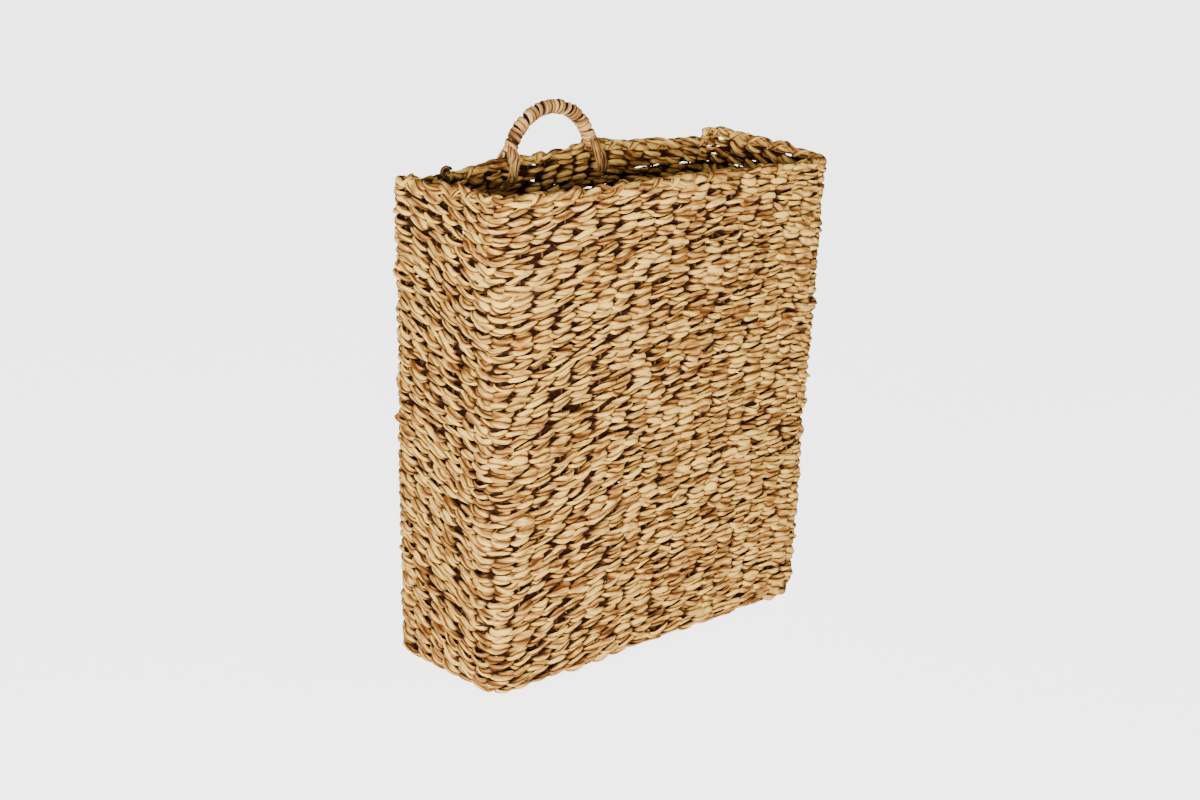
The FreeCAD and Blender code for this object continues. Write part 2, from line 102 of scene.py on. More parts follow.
class Channel:
    """A number that varies over a surface: one socket whose operators add Math nodes."""

    def __init__(self, tree: bpy.types.NodeTree, socket: bpy.types.NodeSocket) -> None:
        """Wraps a socket.

        Args:
            tree: The node tree that the socket is in.
            socket: The socket whose value this is.
        """
        self.tree = tree
        self.socket = socket

    def _math(self, operation: str, first: object, second: object = 0.0) -> "Channel":
        """Adds one Math node.

        Args:
            operation: What the node does.
            first: A value or channel.
            second: Another, for an operation on two.

        Returns:
            The node's result.
        """
        node = self.tree.nodes.new("ShaderNodeMath")
        node.operation = operation
        for socket, value in zip(node.inputs, (first, second)):
            if isinstance(value, Channel):
                self.tree.links.new(value.socket, socket)
            else:
                socket.default_value = value
        return Channel(self.tree, node.outputs[0])

    def __add__(self, other: object) -> "Channel":
        """Sum."""
        return self._math("ADD", self, other)

    def __radd__(self, other: object) -> "Channel":
        """Sum with a plain number first."""
        return self._math("ADD", other, self)

    def __sub__(self, other: object) -> "Channel":
        """Difference."""
        return self._math("SUBTRACT", self, other)

    def __rsub__(self, other: object) -> "Channel":
        """Difference with a plain number first."""
        return self._math("SUBTRACT", other, self)

    def __mul__(self, other: object) -> "Channel":
        """Product."""
        return self._math("MULTIPLY", self, other)

    def __rmul__(self, other: object) -> "Channel":
        """Product with a plain number first."""
        return self._math("MULTIPLY", other, self)

    def sine(self) -> "Channel":
        """Sine of the channel, in radians."""
        return self._math("SINE", self)

    def size(self) -> "Channel":
        """The channel without its sign."""
        return self._math("ABSOLUTE", self)

    def power(self, exponent: float) -> "Channel":
        """The channel raised to a power."""
        return self._math("POWER", self, exponent)

    def clamped(self) -> "Channel":
        """The channel held between 0 and 1."""
        return self._math("MINIMUM", self._math("MAXIMUM", self, 0.0), 1.0)


class Finish:
    """A material under construction, with one method for every node but the Math nodes."""

    def __init__(self, name: str) -> None:
        """Starts an empty material with an output and a Principled shader.

        Args:
            name: The material's name.
        """
        self.material = bpy.data.materials.new(name)
        self.material.use_nodes = True
        self.tree = self.material.node_tree
        self.tree.nodes.clear()
        output = self.tree.nodes.new("ShaderNodeOutputMaterial")
        self.shader = self.tree.nodes.new("ShaderNodeBsdfPrincipled")
        self.tree.links.new(self.shader.outputs[0], output.inputs[0])

    def node(self, kind: str, settings: dict, inputs: dict, output: int | str = 0) -> Channel:
        """Adds a node: its settings first, then the values or links of its sockets.

        Args:
            kind: The node's type without its ShaderNode prefix.
            settings: Properties of the node; "stops" gives a colour ramp's (place, colour) pairs.
            inputs: Values or channels by socket name or number.
            output: The socket to return.

        Returns:
            The chosen output as a channel.
        """
        node = self.tree.nodes.new("ShaderNode" + kind)
        for key, value in settings.items():
            if key == "stops":
                ramp = node.color_ramp
                while len(ramp.elements) < len(value):
                    ramp.elements.new(1.0)
                for element, (place, colour) in zip(ramp.elements, value):
                    element.position = place
                    element.color = (*colour, 1.0)
            else:
                setattr(node, key, value)
        for key, value in inputs.items():
            if isinstance(value, Channel):
                self.tree.links.new(value.socket, node.inputs[key])
            else:
                node.inputs[key].default_value = value
        return Channel(self.tree, node.outputs[output])

    def set(self, name: str, value: object) -> None:
        """Sets or links one socket of the Principled shader.

        Args:
            name: The socket's name.
            value: A plain value, or a channel that varies over the surface.
        """
        if isinstance(value, Channel):
            self.tree.links.new(value.socket, self.shader.inputs[name])
        else:
            self.shader.inputs[name].default_value = value


@dataclass(frozen=True)
class GrassFinish:
    """Dry seagrass: streaks along the blade and a dull sheen, with a painted highlight on the ridges and
    painted shade in the creases and hollows.
    """

    name: str
    dark: tuple[float, float, float]
    middle: tuple[float, float, float]
    pale: tuple[float, float, float]
    # Colour of the painted shade in the creases and hollows.
    painted_shade_colour: tuple[float, float, float]
    roughness: float = 0.6
    hollow_roughness: float = 0.85
    gloss: float = 0.15
    streaks_around: float = 8.0
    streak_length: float = 20.0 * MM
    blotch_scale: float = 70.0
    streak_share: float = 2.4
    blotch_share: float = 1.1
    # Painted highlight: how much the ridge tops lighten the colour.
    ridge_highlight_share: float = 0.6
    # Painted shade: how much the hollows move the colour towards dark.
    painted_shade_share: float = 0.5
    # Painted shade in the creases between blades: its width and its strength.
    crease_width: float = 0.5
    crease_shade_strength: float = 0.75
    # Painted shade: how far the hollows turn towards the painted shade colour.
    painted_shade_strength: float = 1.1
    bump_strength: float = 0.9
    bump_depth: float = 0.9 * MM
    blades: int = 3

    def build(self) -> bpy.types.Material:
        """Builds the material on the strand's UV map, its tone attribute and its attribute of painted shade.

        Creases run where ridge = |sin(pi blades v)| is near 0, v being the share round the strand. The
        value that picks the colour between dark, middle and pale is the tone plus streaks, blotches and a
        painted highlight on the ridge tops, each about its middle, less the painted shade of the hollows.
        Creases and hollows then turn towards the painted shade colour: painted shade between the blades and
        deep between the stitches.

        Returns:
            The finished material.
        """
        finish = Finish(self.name)
        uv = finish.node("UVMap", {"uv_map": "strand"}, {})
        round_share = finish.node("SeparateXYZ", {}, {"Vector": uv}, "Y")
        ridge = (round_share * (math.pi * self.blades)).sine().size()
        tone = finish.node("Attribute", {"attribute_name": "tone"}, {}, "Fac")
        # Painted shade of the hollows, read from the strand.
        hollow = finish.node("Attribute", {"attribute_name": "hollow"}, {}, "Fac")
        stretched = finish.node("Mapping", {}, {
            "Vector": uv, "Scale": (1.0 / self.streak_length, self.streaks_around, 1.0)})
        streaks = finish.node("TexNoise", {"noise_dimensions": "3D"}, {
            "Vector": stretched, "Scale": 1.0, "Detail": 3.0, "Roughness": 0.65, "Distortion": 0.3})
        blotches = finish.node("TexNoise", {"noise_dimensions": "3D"}, {
            "Vector": finish.node("TexCoord", {}, {}, "Object"), "Scale": self.blotch_scale, "Detail": 2.0})
        # Tone, streaks and blotches are the grass's own colour; the ridge term adds a painted highlight and
        # the term from the hollows painted shade.
        shade = (tone + (streaks - 0.5) * self.streak_share + (blotches - 0.5) * self.blotch_share
                 + (ridge - 0.65) * self.ridge_highlight_share - hollow * self.painted_shade_share).clamped()
        colour = finish.node("ValToRGB", {
            "stops": [(0.0, self.dark), (0.42, self.middle), (0.95, self.pale)]}, {"Fac": shade})
        # Painted shade in the creases between the blades.
        crease_shade = (1.0 - ridge * (1.0 / self.crease_width)).clamped() * self.crease_shade_strength
        # Painted shade of creases and hollows together.
        shadow = (hollow * self.painted_shade_strength + crease_shade).clamped()
        finish.set("Base Color", finish.node("Mix", {"data_type": "RGBA"}, {
            0: shadow, 6: colour, 7: (*self.painted_shade_colour, 1.0)}, 2))
        finish.set("Roughness", self.hollow_roughness - shade * (self.hollow_roughness - self.roughness))
        finish.set("Specular IOR Level", self.gloss)
        finish.set("Normal", finish.node("Bump", {}, {
            "Strength": self.bump_strength, "Distance": self.bump_depth,
            "Height": ridge.power(0.5) + streaks * 1.2}))
        return finish.material


# ---------------------------------------------------------------- tubes


@dataclass
class Tube:
    """A strand's skin: rings of points carried along a path, with its finish attributes.

    rings is (rings, around, 3); along is each ring's distance on the path and turned the share of a
    turn by which its blades have twisted; tone is per ring; the painted shade of the hollows is per
    point. The first and last rings are closed by caps.
    """

    rings: Array
    along: Array
    turned: Array
    tone: Array
    hollow: Array


def unit(vectors: Array) -> Array:
    """Each vector of a list at length one."""
    return vectors / np.linalg.norm(vectors, axis=1, keepdims=True)


def placed(name: str, data: bpy.types.ID) -> bpy.types.Object:
    """Puts a mesh, lamp or camera into the scene.

    Args:
        name: The object's name.
        data: What it shows.

    Returns:
        The new object, at the origin.
    """
    made = bpy.data.objects.new(name, data)
    bpy.context.scene.collection.objects.link(made)
    return made


def carried_section(path: Array, outward: Array, half_width: Array, half_depth: Array, around: int,
                    lobes: int, lobe_height: Array | float, twist: Array | float) -> Array:
    """Carries a flattened, lobed section along a path.

    At each point the tangent T, the outward direction N made square to T, and B = T x N span the
    section. A point at angle a is path + k (half_width cos(a) B + half_depth sin(a) N), where
    k = 1 + lobe_height (2 |sin((lobes a + twist) / 2)| - 1) gives blades with sharp creases between.

    Args:
        path: Points of the centre line, (n, 3).
        outward: Directions away from the wall, (n, 3).
        half_width: Half of the strand's width along the wall, (n,).
        half_depth: Half of the strand's thickness across the wall, (n,).
        around: Points in a ring.
        lobes: Ridges in a ring.
        lobe_height: Height of the ridges as a share of the section.
        twist: Angle by which the ridges have turned at each point.

    Returns:
        Rings of points, (n, around, 3).
    """
    tangent = unit(np.gradient(path, axis=0))
    normal = unit(outward - (outward * tangent).sum(1, keepdims=True) * tangent)
    side = np.cross(tangent, normal)
    angle = np.linspace(0.0, math.tau, around, endpoint=False)
    ridge = np.abs(np.sin(0.5 * lobes * angle + 0.5 * np.reshape(twist, (-1, 1))))
    swell = 1.0 + np.reshape(lobe_height, (-1, 1)) * (2.0 * ridge - 1.0)
    across = (swell * np.cos(angle) * half_width[:, None])[..., None] * side[:, None]
    through = (swell * np.sin(angle) * half_depth[:, None])[..., None] * normal[:, None]
    return path[:, None] + across + through


def tube_object(name: str, tubes: list[Tube]) -> bpy.types.Object:
    """Joins tubes into one mesh object with UV map "strand", a tone attribute and a painted shade attribute.

    Args:
        name: The object's name.
        tubes: The strands in the piece.

    Returns:
        The new object, at the origin.
    """
    points, quads, caps, tones, painted_shades, quad_uv, cap_uv = [], [], [], [], [], [], []
    offset = 0
    for tube in tubes:
        count, around, _ = tube.rings.shape
        index = offset + np.arange(count * around).reshape(count, around)
        following = np.roll(index, -1, axis=1)
        quad = np.stack([index[:-1], following[:-1], following[1:], index[1:]], axis=-1)
        turn = np.arange(around) / around
        length, share = np.broadcast_arrays(tube.along[:, None], tube.turned[:, None] + turn)
        start = np.stack([length, share], -1)
        end = start + np.array([0.0, 1.0 / around])
        uv = np.stack([start[:-1], end[:-1], end[1:], start[1:]], axis=2)
        points.append(tube.rings.reshape(-1, 3))
        quads.append(quad.reshape(-1, 4))
        quad_uv.append(uv.reshape(-1, 2))
        caps.append(np.stack([index[0][::-1], index[-1]]))
        cap_uv.append(np.stack([start[0][::-1], start[-1]]).reshape(-1, 2))
        tones.append(np.repeat(tube.tone, around))
        painted_shades.append(tube.hollow.reshape(-1))
        offset += count * around
    vertices = np.concatenate(points)
    loops = np.concatenate([np.concatenate(quads).reshape(-1)] + [cap.reshape(-1) for cap in caps])
    sizes = np.concatenate([np.full(len(quad), 4) for quad in quads]
                           + [np.full(2, cap.shape[1]) for cap in caps]).astype(np.int32)
    starts = np.concatenate([[0], np.cumsum(sizes)[:-1]]).astype(np.int32)
    mesh = bpy.data.meshes.new(name)
    mesh.vertices.add(len(vertices))
    mesh.vertices.foreach_set("co", vertices.astype(np.float32).reshape(-1))
    mesh.loops.add(len(loops))
    mesh.loops.foreach_set("vertex_index", loops.astype(np.int32))
    mesh.polygons.add(len(sizes))
    mesh.polygons.foreach_set("loop_start", starts)
    mesh.polygons.foreach_set("loop_total", sizes)
    mesh.polygons.foreach_set("use_smooth", np.ones(len(sizes), bool))
    mesh.update(calc_edges=True)
    layer = mesh.uv_layers.new(name="strand")
    layer.uv.foreach_set("vector", np.concatenate(quad_uv + cap_uv).astype(np.float32).reshape(-1))
    for label, values in (("tone", tones), ("hollow", painted_shades)):
        attribute = mesh.attributes.new(label, "FLOAT", "POINT")
        attribute.data.foreach_set("value", np.concatenate(values).astype(np.float32))
    mesh.validate()
    return placed(name, mesh)


def smooth_step(x: Array) -> Array:
    """3x^2 - 2x^3 between 0 and 1, flat outside."""
    x = np.clip(x, 0.0, 1.0)
    return x * x * (3.0 - 2.0 * x)


def eased(values: Array, place: Array) -> Array:
    """Joins values at whole places by smooth steps: v[k] (1 - w) + v[k + 1] w, w = smooth(place - k).

    Args:
        values: A value for each whole place.
        place: Where to read them.

    Returns:
        The joined values.
    """
    low = np.clip(np.floor(place).astype(int), 0, len(values) - 2)
    weight = smooth_step(place - low)
    return values[low] * (1.0 - weight) + values[low + 1] * weight


# ---------------------------------------------------------------- the wall's surface


@dataclass
class Outline:
    """Closed outline of the basket at one height, measured by the share of its length.

    Share 0 is the middle of the front and the share grows anticlockwise as seen from above.
    """

    height: float
    points: Array = field(repr=False)

    @classmethod
    def of_node(cls, node: bpy.types.Object, height: float) -> "Outline":
        """Takes the outer outline of a CAD node at a height: the convex hull of its corners there.

        Args:
            node: The CAD node's object.
            height: Height of the slice.

        Returns:
            The outline, resampled evenly from the middle of the front.
        """
        corners = np.empty(len(node.data.vertices) * 3)
        node.data.vertices.foreach_get("co", corners)
        corners = corners.reshape(-1, 3)
        level = corners[np.abs(corners[:, 2] - height) < SAME_HEIGHT][:, :2]
        hull = convex_hull(np.unique(np.round(level, 6), axis=0))
        closed = np.vstack([hull, hull[:1]])
        length = np.concatenate([[0.0], np.cumsum(np.linalg.norm(np.diff(closed, axis=0), axis=1))])
        fine = np.linspace(0.0, length[-1], OUTLINE_SAMPLES + 1)
        track = np.stack([np.interp(fine, length, closed[:, axis]) for axis in (0, 1)], -1)[:-1]
        start = np.argmin(np.abs(track[:, 0]) + (track[:, 1] > 0))
        return cls(height, np.roll(track, -start, axis=0))

    def at(self, share: Array) -> Array:
        """Points of the outline, on straight lines between its samples.

        Args:
            share: Shares of the length; whole turns don't matter.

        Returns:
            Points, (..., 2).
        """
        count = len(self.points)
        place = np.mod(share, 1.0) * count
        low = np.floor(place).astype(int) % count
        weight = (place - np.floor(place))[..., None]
        return self.points[low] * (1.0 - weight) + self.points[(low + 1) % count] * weight


def convex_hull(points: Array) -> Array:
    """Finds the convex hull of flat points: the lower chain from left to right, then the upper one back.

    Args:
        points: The points, (n, 2), none twice.

    Returns:
        The hull's corners, anticlockwise.
    """
    ordered = points[np.lexsort((points[:, 1], points[:, 0]))]
    chains = []
    for run in (ordered, ordered[::-1]):
        chain: list[Array] = []
        for point in run:
            while len(chain) > 1:
                one, two = chain[-1] - chain[-2], point - chain[-2]
                if one[0] * two[1] - one[1] * two[0] > 0:
                    break
                chain.pop()
            chain.append(point)
        chains += chain[:-1]
    return np.array(chains)


def round_field(knots: tuple[tuple[float, float], ...], share: Array) -> Array:
    """Joins values round the outline by straight lines.

    Args:
        knots: Pairs of a share of the way round and a value in mm.
        share: Where to read them.

    Returns:
        The values in metres.
    """
    shares, values = np.array(knots).T
    return MM * np.interp(np.mod(share, 1.0), shares, values)


@dataclass(frozen=True)
class Settling:
    """How the soft wall departs from its plain outline near the rim, in mm by share of the way round.

    rise lifts or lowers the rim and fades out downwards; lean moves the wall outwards or inwards and
    grows evenly with height.
    """

    rise: tuple[tuple[float, float], ...] = (
        (0.0, -0.5), (0.04, -1.5), (0.08, -3.5), (0.12, -5.0), (0.165, -6.5), (0.20, -5.0), (0.25, 0.5),
        (0.29, 3.5), (0.325, 1.0), (0.34, 1.0), (0.36, 0.5), (0.40, 2.5), (0.425, 4.5), (0.45, 4.0),
        (0.50, 0.0), (0.56, -2.5), (0.60, -4.5), (0.635, -6.5), (0.665, -2.5), (0.70, 2.0), (0.76, 3.0),
        (0.80, 2.0), (0.84, 0.5), (1.0, -0.5))
    lean: tuple[tuple[float, float], ...] = (
        (0.0, 0.0), (0.10, 0.0), (0.15, 4.0), (0.19, 6.0), (0.22, 3.5), (0.27, 0.0), (0.38, 0.0),
        (0.42, 2.5), (0.46, 2.0), (0.52, 0.0), (0.60, -1.5), (0.66, -6.0), (0.70, -8.0), (0.76, -8.0),
        (0.80, -6.0), (0.84, -1.5), (0.88, 0.0), (1.0, 0.0))
    rise_start: float = 0.27
    rim_height: float = 0.43

    def moved(self, share: Array, height: Array) -> tuple[Array, Array]:
        """Works out how far the wall has moved.

        Args:
            share: Share round the outline.
            height: Height above the floor.

        Returns:
            The outward and the upward shift.
        """
        grow = smooth_step((height - self.rise_start) / (self.rim_height - self.rise_start))
        return (round_field(self.lean, share) * np.clip(height / self.rim_height, 0.0, 1.0),
                round_field(self.rise, share) * grow)


@dataclass
class Surface:
    """The stakes' surface: from the base's edge round the turn and up the wall.

    A place is a share round the outline, a rise along the profile, and a lift outwards. The profile
    is a quarter turn of radius turn_radius, whose foot is at rise 0, and then the wall.
    """

    foot: Outline
    rim: Outline
    edge_radius: float
    inset: float
    settling: Settling = Settling()
    side_step: float = 0.004

    @property
    def turn_radius(self) -> float:
        """Radius of the stakes' turn at the bottom edge."""
        return self.edge_radius - self.inset

    @property
    def turn_length(self) -> float:
        """Length of the quarter turn."""
        return 0.5 * math.pi * self.turn_radius

    def outline(self, share: Array, height: Array) -> Array:
        """Outer face at a height: a straight blend of the foot and rim outlines, carried past both."""
        weight = (height - self.foot.height) / (self.rim.height - self.foot.height)
        return self.foot.at(share) * (1.0 - weight)[..., None] + self.rim.at(share) * weight[..., None]

    def frame(self, share: Array, rise: Array, lift: Array) -> tuple[Array, Array]:
        """Works out points and outward directions.

        On the turn, at angle f = rise / turn_radius from the bottom, the point is at
        inset_h = edge_radius - (turn_radius + lift) sin f from the outer face and at height
        edge_radius - (turn_radius + lift) cos f. Above it the inset is inset - lift.

        Args:
            share: Share round the outline.
            rise: Distance along the profile.
            lift: Distance outwards from the stakes' surface.

        Returns:
            Points and unit directions, both (n, 3).
        """
        on_turn = rise < self.turn_length
        angle = np.where(on_turn, rise / self.turn_radius, 0.5 * math.pi)
        reach = self.turn_radius + lift
        height = self.edge_radius - reach * np.cos(angle) + np.where(on_turn, 0.0, rise - self.turn_length)
        inset = self.edge_radius - reach * np.sin(angle)
        outer = self.outline(share, height)
        tangent = unit(self.outline(share + self.side_step, height)
                       - self.outline(share - self.side_step, height))
        away = np.stack([tangent[:, 1], -tangent[:, 0]], -1)
        lean, lifted = self.settling.moved(share, height)
        place = outer - away * (inset - lean)[:, None]
        points = np.column_stack([place, height + lifted])
        normals = np.column_stack([away * np.sin(angle)[:, None], -np.cos(angle)])
        return points, normals


# ---------------------------------------------------------------- twined strands


@dataclass(frozen=True)
class Stitch:
    """Shape of one stitch: how a strand passes outside one stake and inside the next.

    Widths and depths are halves. The waist is where the strand crosses the wall; there it is at least
    cover less the slant. The painted shade, which darkens the strand's surface where it lies near the
    stakes' line, is full up to its start distance from that line and fades out over its span.
    """

    relief: float = 3.1 * MM
    half_width: float = 3.6 * MM
    waist_width: float = 1.9 * MM
    cover: float = 4.6 * MM
    half_depth: float = 2.0 * MM
    waist_depth: float = 1.8 * MM
    overlap: float = 0.16
    hold: float = 1.7
    steepness: float = 1.15
    fullness: float = 0.85
    blade_height: float = 0.22
    twist_per_stake: float = 5.4
    tone: float = 0.53
    # Painted shade: full near the stakes' line, fading over a span, scaled by a share.
    painted_shade_start: float = 1.2 * MM
    painted_shade_span: float = 2.8 * MM
    painted_shade_share: float = 1.0
    samples: int = 12
    around: int = 12
    blades: int = 3


@dataclass(frozen=True)
class Unevenness:
    """Spread of each measure of a stitch from one stake to the next, as shares unless it says otherwise."""

    relief: float = 0.18
    slant: float = 0.4
    row: float = 0.85 * MM
    width: float = 0.17
    depth: float = 0.15
    stakes_along: float = 0.13
    roll_radians: float = 0.5
    twist_radians: float = 2.2
    blade_height: float = 0.07
    tone: float = 0.15
    broad_chance: float = 0.05
    broad_width: float = 0.22
    broad_tone: float = 0.30


Path = Callable[[Array, Array, Array], tuple[Array, Array]]


@dataclass
class Twiner:
    """Makes pairs of strands that are twined round the stakes."""

    stitch: Stitch
    random: np.random.Generator
    uneven: Unevenness = Unevenness()

    def wander(self, knots: int, place: Array, spread: float) -> Array:
        """A random value at each whole place, joined smoothly, with the given spread."""
        return spread * eased(self.random.normal(size=knots), place)

    def strand(self, path: Path, stakes: int, first: float, flip: int, slant: Array | float) -> Tube:
        """Makes one strand of a pair.

        With c = cos(pi s) and n = sin(pi s) at s stakes along, the strand stands
        relief tanh(hold (c + overlap)) / tanh(hold (1 + overlap)) out from the stakes and slant n up from
        the row's middle. Its width and depth grow from the waist's to the full ones with |c|^fullness.

        Args:
            path: Gives points and outward directions at (s, up, out).
            stakes: Whole stakes that the strand passes.
            first: Where s starts.
            flip: 0 or 1, which of the pair this is.
            slant: Rise of a stitch's far end above the row's middle, at every sample.

        Returns:
            The strand's tube.
        """
        shape, uneven, draw = self.stitch, self.uneven, self.random
        local = np.linspace(0.0, stakes, stakes * shape.samples + 1)
        knots = stakes + 2
        phase = math.pi * (first + local + flip)
        out, cross = np.cos(phase), np.sin(phase)
        full = np.abs(out) ** shape.fullness
        standing = np.tanh(shape.hold * (out + shape.overlap)) / math.tanh(shape.hold * (1.0 + shape.overlap))
        relief = shape.relief * standing * (1.0 + self.wander(knots, local, uneven.relief))
        slant = slant * shape.steepness
        rise = (slant * cross * (1.0 + self.wander(knots, local, uneven.slant))
                + self.wander(knots, local, uneven.row))
        waist = np.maximum(shape.waist_width, shape.cover - np.abs(slant))
        width = waist + (shape.half_width - waist) * full
        depth = shape.waist_depth + (shape.half_depth - shape.waist_depth) * full
        broad = eased((draw.random(knots) < uneven.broad_chance).astype(float), local)
        width = width * np.exp(self.wander(knots, local, uneven.width) + uneven.broad_width * broad)
        depth = depth * np.exp(self.wander(knots, local, uneven.depth))
        s = first + local + self.wander(knots, local, uneven.stakes_along)
        points, outward = path(s, rise, relief)
        tangent = unit(np.gradient(points, axis=0))
        roll = self.wander(knots, local, uneven.roll_radians)[:, None]
        leaning = outward * np.cos(roll) + np.cross(tangent, outward) * np.sin(roll)
        twist = (shape.twist_per_stake * local + self.wander(knots, local, uneven.twist_radians)
                 + draw.uniform(0.0, math.tau))
        lobe = shape.blade_height + self.wander(knots, local, uneven.blade_height)
        rings = carried_section(points, leaning, width, depth, shape.around, shape.blades, lobe, twist)
        rings[..., 2] = np.maximum(rings[..., 2], GROUND_CLEARANCE)
        # Painted shade: the surface is darkened where it lies near the stakes' line, deep between the
        # stitches.
        stakes_line = (points - outward * relief[:, None])[:, None]
        height = np.abs(((rings - stakes_line) * outward[:, None]).sum(-1))
        hollow = shape.painted_shade_share * (1.0 - smooth_step((height - shape.painted_shade_start) / shape.painted_shade_span))
        tone = shape.tone + self.wander(knots, local, uneven.tone) + uneven.broad_tone * broad
        return Tube(rings, travelled(points) + draw.uniform(0.0, 5.0), twist / (math.tau * shape.blades),
                    tone, hollow)


def travelled(points: Array) -> Array:
    """Distance from the first point along a path, at each point."""
    return np.concatenate([[0.0], np.cumsum(np.linalg.norm(np.diff(points, axis=0), axis=1))])


@dataclass
class Basketry:
    """What every piece of the basket shares: random numbers, finishes and how a piece is placed."""

    random: np.random.Generator
    finishes: dict[Slot, bpy.types.Material]

    def piece(self, name: str, tubes: list[Tube], slot: Slot, stands_for: list[str],
              body: str | None = "root") -> bpy.types.Object:
        """Makes a piece of tubes and gives it its finish, body and CAD nodes.

        Args:
            name: The piece's name.
            tubes: The strands in it.
            slot: Its material slot in the record.
            stands_for: CAD nodes that it replaces.
            body: The body that it rides on, or None to leave it on no body.

        Returns:
            The new object.
        """
        piece = tube_object(name, tubes)
        piece.data.materials.append(self.finishes[slot])
        if body:
            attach(piece, body)
        if stands_for:
            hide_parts(*stands_for)
        log.info("%s: %d faces", piece.name, len(piece.data.polygons))
        return piece

    def blade(self, points: Array, outward: Array, half_width: float, half_depth: float, tone: float,
              around: int = 6, taper: float = 0.25) -> Tube:
        """Makes a short flat blade: its width is taper + (1 - taper) sin(pi t)^0.6 of the middle's.

        Args:
            points: The centre line, (n, 3).
            outward: Direction of the blade's face, (n, 3) or (3,).
            half_width: Half of its width in the middle.
            half_depth: Half of its thickness.
            tone: Its tone.
            around: Points in a ring.
            taper: Width of the ends as a share of the middle.

        Returns:
            The blade's tube.
        """
        t = np.linspace(0.0, 1.0, len(points))
        swell = taper + (1.0 - taper) * np.sin(math.pi * t) ** 0.6
        facing = np.broadcast_to(outward, points.shape)
        rings = carried_section(points, facing, half_width * swell, half_depth * swell, around, 2, 0.08,
                                3.0 * t)
        along = travelled(points) + self.random.uniform(0.0, 5.0)
        return Tube(rings, along, np.full(len(points), self.random.uniform(0.0, 1.0)),
                    np.full(len(points), tone), np.zeros(rings.shape[:2]))


@dataclass(frozen=True)
class HandWork:
    """How the rows stray from an even spiral: along the row in stakes, and up and outwards."""

    long_sway: float = 0.17
    short_sway: float = 0.10
    waver: float = 0.9 * MM
    bulge: float = 1.1 * MM

    def sway(self, s: Array, turns: Array) -> Array:
        """Stakes by which a stitch is early or late: two sines along the row that differ row by row."""
        return (self.long_sway * np.sin(s * 0.55 + turns * 1.9)
                + self.short_sway * np.sin(s * 0.83 - turns * 4.1))

    def strayed(self, share: Array, rise: Array) -> tuple[Array, Array]:
        """Shifts up and outwards: products of waves round the wall and up it.

        Args:
            share: Share round the outline.
            rise: Distance up the wall's profile.

        Returns:
            The upward and the outward shift.
        """
        angle = math.tau * share
        return (self.waver * np.sin(5.0 * angle + rise / (70 * MM)) * np.cos(3.0 * angle + rise / (110 * MM)),
                self.bulge * np.sin(7.0 * angle - rise / (60 * MM)) * np.sin(rise / (95 * MM)))


